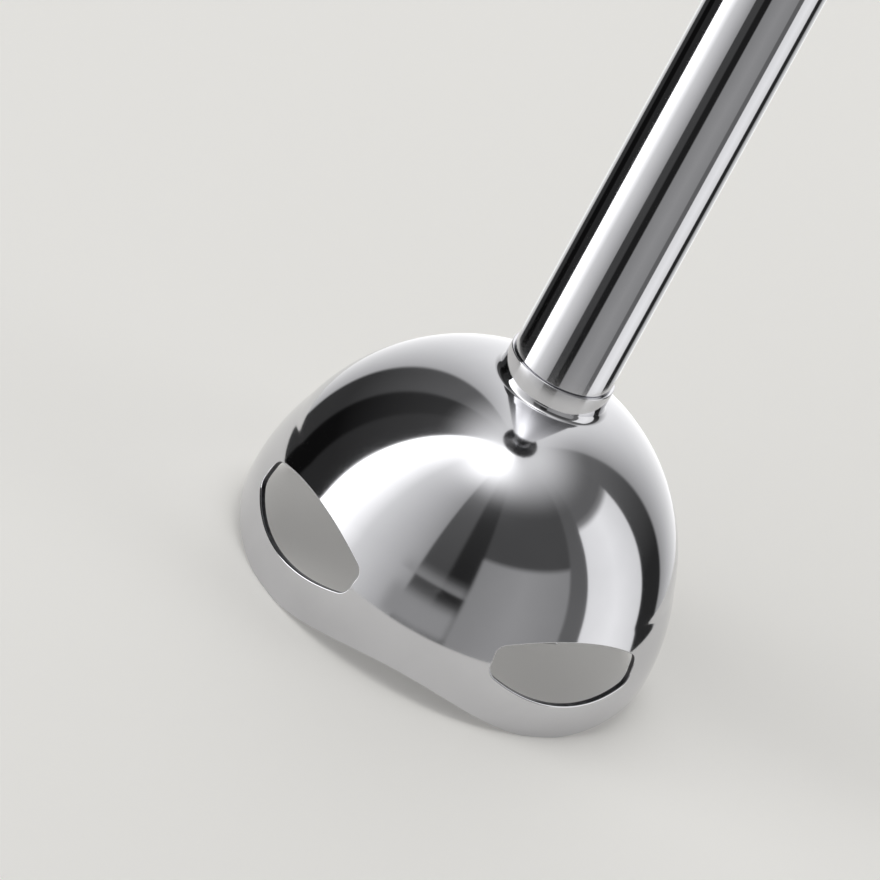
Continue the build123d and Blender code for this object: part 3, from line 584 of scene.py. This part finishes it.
def border_loop():
    """The sector's border, as (angle, height), point for point beside the window's loop."""
    edge = math.pi / 4
    low = rim_z(edge) + EDGE_ROUND
    points = []
    for i in range(LONG_STEPS):
        points.append((edge - 2 * edge * i / LONG_STEPS, CREASE_Z))
    for i in range(SHORT_STEPS):
        points.append((-edge, CREASE_Z + (low - CREASE_Z) * i / SHORT_STEPS))
    for i in range(LONG_STEPS):
        a = -edge + 2 * edge * i / LONG_STEPS
        points.append((a, rim_z(a) + EDGE_ROUND))
    for i in range(SHORT_STEPS):
        points.append((edge, low + (CREASE_Z - low) * i / SHORT_STEPS))
    return points


def edge_steps():
    """Steps over the sheet's edge from outside to inside, as (aside, deep, turn of the normal)."""
    half = []
    for i in range(ROUND_STEPS + 1):
        a = math.pi / 2 * i / ROUND_STEPS
        half.append((EDGE_ROUND * (1 - math.sin(a)), EDGE_ROUND * (1 - math.cos(a)), a))
    return half + [(aside, SHEET - deep, math.pi - a) for aside, deep, a in reversed(half)]


# =============================== the bell's and tube's meshes ===============================

# Points are joined where they fall on the same place of a grid with this many steps in a millimetre
WELD_GRID = 2000
# The steps over a window's edge that keep the polish; those between them are the cut wall, painted dark as
# shade
POLISHED_STEPS = 3


class Shell:
    """Points, normals and faces of a mesh that is built strip by strip."""

    def __init__(self):
        self.verts, self.normals, self.faces, self.finishes = [], [], [], []

    def row(self, points):
        start = len(self.verts)
        for point, normal in points:
            self.verts.append(point)
            self.normals.append(normal.normalized())
        return list(range(start, len(self.verts)))

    def strips(self, rows, closed, finish=0):
        for low, high in zip(rows, rows[1:]):
            for i in range(len(low) if closed else len(low) - 1):
                n = (i + 1) % len(low)
                self.faces.append((low[i], low[n], high[n], high[i]))
                self.finishes.append(finish)

    def revolve(self, profile, angles):
        """Rings round the axis, one for each (radius, height, normal out, normal up)."""
        rows = []
        for r, z, out, up in profile:
            ring = []
            for a in angles:
                normal = Vector((out * math.cos(a), out * math.sin(a), up))
                ring.append((Vector((r * math.cos(a), r * math.sin(a), z)), normal))
            rows.append(self.row(ring))
        self.strips(rows, True)

    def build(self, name):
        """The mesh, welded where points coincide, with its normals kept."""
        keys, keep, index = {}, [], []
        for i, point in enumerate(self.verts):
            key = tuple(round(c * WELD_GRID) for c in point)
            if key not in keys:
                keys[key] = len(keep)
                keep.append(i)
            index.append(keys[key])
        faces, finishes = [], []
        for face, finish in zip(self.faces, self.finishes):
            ring = []
            for i in face:
                if index[i] not in ring:
                    ring.append(index[i])
            if len(ring) > 2:
                faces.append(tuple(ring))
                finishes.append(finish)
        obj = mesh_object(name, [self.verts[i] for i in keep], faces)
        obj.data.polygons.foreach_set("material_index", finishes)
        face_outwards(obj)
        obj.data.normals_split_custom_set_from_vertices([tuple(self.normals[i]) for i in keep])
        return obj


def turned(turn, point, normal):
    spin = Matrix.Rotation(turn, 3, "Z")
    return spin @ point, spin @ normal


def add_faces(shell, turn, loop):
    """Both faces of the skirt round one window, in rings from the window to the sector's border."""
    border = border_loop()
    for depth in (0.0, SHEET):
        rows = []
        for share in RING_SHARES:
            ring = []
            for (x, z, nx, nz), (angle, height) in zip(loop, border):
                h = z + EDGE_ROUND * nz
                start = sheet_point(h, depth, across=x + EDGE_ROUND * nx)[2]
                a = start + (angle - start) * share
                h += (height - h) * share
                point, normal, _ = sheet_point(h, depth, angle=a)
                ring.append(turned(turn, point, -normal if depth else normal))
            rows.append(shell.row(ring))
        shell.strips(rows, True)


def add_window_edge(shell, turn, loop):
    """The window's wall between its two rounded edges. The wall has the duller cut finish, and its dark
    tone is painted shade.
    """
    rows = []
    for aside, deep, a in edge_steps():
        ring = []
        for x, z, nx, nz in loop:
            point, normal, _ = sheet_point(z + aside * nz, deep, across=x + aside * nx)
            wall = Vector((0, -nx, -nz))
            ring.append(turned(turn, point, normal * math.cos(a) + wall * math.sin(a)))
        rows.append(shell.row(ring))
    shell.strips(rows[: POLISHED_STEPS + 1], True)
    shell.strips(rows[POLISHED_STEPS:-POLISHED_STEPS], True, finish=1)
    shell.strips(rows[-POLISHED_STEPS - 1 :], True)


def add_rim_edge(shell, turn):
    rows = []
    for aside, deep, a in edge_steps():
        edge = []
        for i in range(LONG_STEPS + 1):
            angle = math.pi / 4 * (2 * i / LONG_STEPS - 1)
            point, normal, _ = sheet_point(rim_z(angle) + aside, deep, angle=angle)
            edge.append(turned(turn, point, normal * math.cos(a) + Vector((0, 0, -1)) * math.sin(a)))
        rows.append(shell.row(edge))
    shell.strips(rows, False)


def dome_heights():
    """Heights of the rows from the crease to the neck's top, closer where the profile turns quickly."""
    near_crease = (0, 0.04, 0.10, 0.18, 0.30, 0.5, 0.8)
    dome_rows, fillet_rows, neck_rows = 48, 12, 4
    heights = [CREASE_Z + step for step in near_crease]
    first = math.asin((heights[-1] - DOME_CENTRE_Z) / DOME_RADIUS)
    last = math.asin((FILLET_LOW_Z - DOME_CENTRE_Z) / DOME_RADIUS)
    for i in range(1, dome_rows + 1):
        heights.append(DOME_CENTRE_Z + DOME_RADIUS * math.sin(first + (last - first) * i / dome_rows))
    for i in range(1, fillet_rows + 1):
        heights.append(FILLET_LOW_Z + (FILLET_Z - FILLET_LOW_Z) * math.sin(math.pi / 2 * i / fillet_rows))
    for i in range(1, neck_rows + 1):
        heights.append(FILLET_Z + (NECK_TOP_Z - NECK_EDGE - FILLET_Z) * i / neck_rows)
    return heights


def quarter_turn(steps=6):
    return [math.pi / 2 * i / steps for i in range(steps + 1)]


def add_dome(shell):
    """The dome and the neck, outside and inside, with the neck's rounded top edge."""
    columns = 4 * LONG_STEPS
    angles = [math.pi / 4 + math.tau * i / columns for i in range(columns)]
    for depth in (0.0, SHEET):
        profile = []
        for height in dome_heights():
            radial, up = profile_normal(height)
            r, z = outer_radius(height) - depth * radial, height - depth * up
            if depth and height == CREASE_Z:
                z = CREASE_Z
                r = sheet_point(CREASE_Z, depth, angle=0.0)[0].x
            side = -1 if depth else 1
            profile.append((r, z, side * radial, side * up))
        shell.revolve(profile, angles)
    profile = []
    for a in quarter_turn():
        out, up = math.cos(a), math.sin(a)
        profile.append((NECK_RADIUS - NECK_EDGE * (1 - out), NECK_TOP_Z - NECK_EDGE * (1 - up), out, up))
    profile.append((NECK_RADIUS - SHEET, NECK_TOP_Z, 0, 1))
    profile.append((NECK_RADIUS - SHEET, NECK_TOP_Z - NECK_EDGE, 0, 1))
    shell.revolve(profile, angles)


def add_bell():
    shell = Shell()
    loop = window_loop()
    for quarter in range(4):
        turn = quarter * math.pi / 2
        add_faces(shell, turn, loop)
        add_window_edge(shell, turn, loop)
        add_rim_edge(shell, turn)
    add_dome(shell)
    bell = shell.build("bell_skin")
    bell.data.materials.append(MATERIALS["polished_steel"])
    bell.data.materials.append(MATERIALS["cut_steel_and_shade"])
    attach(bell, "foot")
    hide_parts("bell_guard")


def add_tube():
    """The shaft tube, with a small rounded lower edge that leaves a hairline at the neck's top."""
    columns, rows = 160, 24
    bore = TUBE_RADIUS - TUBE_WALL
    foot = NECK_TOP_Z + TUBE_EDGE
    profile = [(bore, TUBE_TOP_Z, -1, 0), (bore, NECK_TOP_Z, -1, 0)]
    profile.append((TUBE_RADIUS - TUBE_EDGE, NECK_TOP_Z, 0, -1))
    for a in quarter_turn():
        out, down = math.sin(a), math.cos(a)
        z = NECK_TOP_Z + TUBE_EDGE * (1 - down)
        profile.append((TUBE_RADIUS - TUBE_EDGE * (1 - out), z, out, -down))
    for i in range(1, rows + 1):
        profile.append((TUBE_RADIUS, foot + (TUBE_TOP_Z - foot) * i / rows, 1, 0))
    profile.append((bore, TUBE_TOP_Z, 0, 1))
    shell = Shell()
    shell.revolve(profile, [math.tau * i / columns for i in range(columns)])
    tube = shell.build("tube_skin")
    tube.data.materials.append(MATERIALS["polished_steel"])
    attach(tube, "foot")
    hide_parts("shaft_tube")


# =============================== details of the handle ===============================

# A line from this far out meets every part of the handle
OUTSIDE = 60.0

RIB_COUNT = 19
RIB_FIRST_Z = 264.0
RIB_PITCH = 4.4
RIB_HEIGHT = 0.45
RIB_HALF_WIDTH = 0.9
RIB_SUNK = 0.05
# How far a rib reaches round the back, to each side, and how far where it passes between two screws
RIB_REACH = 52
RIB_REACH_AT_SCREWS = 26
SCREW_HEAD_RADIUS = 2.7
SCREW_CLEARANCE = 5.0

DOT_RADIUS = 0.75
DOT_FLATNESS = 0.45
DOT_RING_RADIUS = 3.4
DOT_RING = [math.tau * i / 5 for i in range(5)]
BUTTON_DOTS = {
    "power_button": ("power_key", [(0.0, -4.5), (0.0, 0.0), (0.0, 4.5)]),
    "turbo_button": (
        "turbo_key", [(DOT_RING_RADIUS * math.sin(a), DOT_RING_RADIUS * math.cos(a)) for a in DOT_RING]
    ),
}

DIAL_TURN = 280
DIAL_NUMBERS = 9
NUMBER_SIZE = 2.3
NUMBER_THICKNESS = 0.06
NUMBER_RADIUS = 21.1
NUMBER_LIFT = 0.02


def skin_point(node, angle, height):
    """Where a line from outside to the axis meets a node, and the normal there, in metres."""
    outward = Vector((math.cos(angle), math.sin(angle), 0))
    start = outward * OUTSIDE * MM + Vector((0, 0, height * MM))
    hit, point, normal, _ = NODES[node].ray_cast(start, -outward)
    if not hit:
        raise RuntimeError(f"{node} has no skin at {height} mm")
    return point, normal


def add_rib(verts, faces, middle, half_angle):
    """One rib round the back at a height, a half-round bar that tapers to its ends."""
    stations, section = 40, 8
    width = section + 1
    start = len(verts)
    for i in range(stations + 1):
        share = 2 * i / stations - 1
        taper = math.sqrt(max(0.0, 1 - abs(share) ** 6))
        point, normal = skin_point("grip_pad", math.pi / 2 + half_angle * share, middle)
        for k in range(width):
            a = math.pi * k / section
            proud = normal * (RIB_HEIGHT * math.sin(a) * taper - RIB_SUNK) * MM
            along = Vector((0, 0, -RIB_HALF_WIDTH * math.cos(a) * (0.2 + 0.8 * taper) * MM))
            verts.append((point + proud + along) / MM)
    for i in range(stations):
        here, after = start + i * width, start + (i + 1) * width
        for k in range(section):
            faces.append((here + k, here + k + 1, after + k + 1, after + k))
        faces.append((here, after, after + section, here + section))
    faces.append(tuple(start + k for k in range(width)))
    faces.append(tuple(start + stations * width + k for k in range(width)))


def add_grip_ribs():
    """Low moulded ribs across the back of the grip."""
    verts, faces = [], []
    screw_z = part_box("housing_screws")[0][2] / MM + SCREW_HEAD_RADIUS
    for rib in range(RIB_COUNT):
        middle = RIB_FIRST_Z + rib * RIB_PITCH
        at_screws = abs(middle - screw_z) < SCREW_CLEARANCE
        add_rib(verts, faces, middle, math.radians(RIB_REACH_AT_SCREWS if at_screws else RIB_REACH))
    ribs = mesh_object("grip_ribs", verts, faces)
    face_outwards(ribs, weld=0.002)
    ribs.data.materials.append(MATERIALS["soft_grip"])
    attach(ribs, "handle")


def add_button_dots():
    """Small domes that a thumb can feel, a row of three on the power button and a ring on the turbo."""
    for node, (body, places) in BUTTON_DOTS.items():
        low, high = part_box(node)
        middle = (low[2] + high[2]) / 2 / MM
        bm = bmesh.new()
        for x, z in places:
            start = Vector((x * MM, -OUTSIDE * MM, (middle + z) * MM))
            _, point, normal, _ = NODES[node].ray_cast(start, Vector((0, 1, 0)))
            turn = normal.to_track_quat("Z", "Y").to_matrix().to_4x4()
            flat = Matrix.Diagonal((1, 1, DOT_FLATNESS, 1))
            bmesh.ops.create_uvsphere(
                bm,
                u_segments=24,
                v_segments=12,
                radius=DOT_RADIUS * MM,
                matrix=Matrix.Translation(point) @ turn @ flat,
            )
        mesh = bpy.data.meshes.new(node + "_dots")
        bm.to_mesh(mesh)
        bm.free()
        mesh.shade_smooth()
        mesh.materials.append(MATERIALS["soft_grip"])
        dots = link_object(node + "_dots", mesh)
        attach(dots, body)


def add_dial_numbers():
    """Raised numbers on the cap round the dial, spread over the dial's turn."""
    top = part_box("top_cap")[1][2] / MM
    for i in range(DIAL_NUMBERS):
        angle = math.radians(-90 - DIAL_TURN + DIAL_TURN * i / (DIAL_NUMBERS - 1))
        name = f"dial_number_{i + 1}"
        curve = bpy.data.curves.new(name, "FONT")
        curve.body = str(i + 1)
        curve.size = NUMBER_SIZE * MM
        curve.extrude = NUMBER_THICKNESS * MM
        curve.align_x = "CENTER"
        curve.align_y = "CENTER"
        curve.materials.append(MATERIALS["scale_paint"])
        text = link_object(name, curve)
        x, y = NUMBER_RADIUS * math.cos(angle), NUMBER_RADIUS * math.sin(angle)
        text.location = (x * MM, y * MM, (top + NUMBER_LIFT) * MM)
        text.rotation_euler = (0, 0, angle + math.pi / 2)
        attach(text, "handle")


add_camera()
add_world()
add_studio()
add_floor()
dress_nodes()
add_bell()
add_tube()
add_grip_ribs()
add_button_dots()
add_dial_numbers()
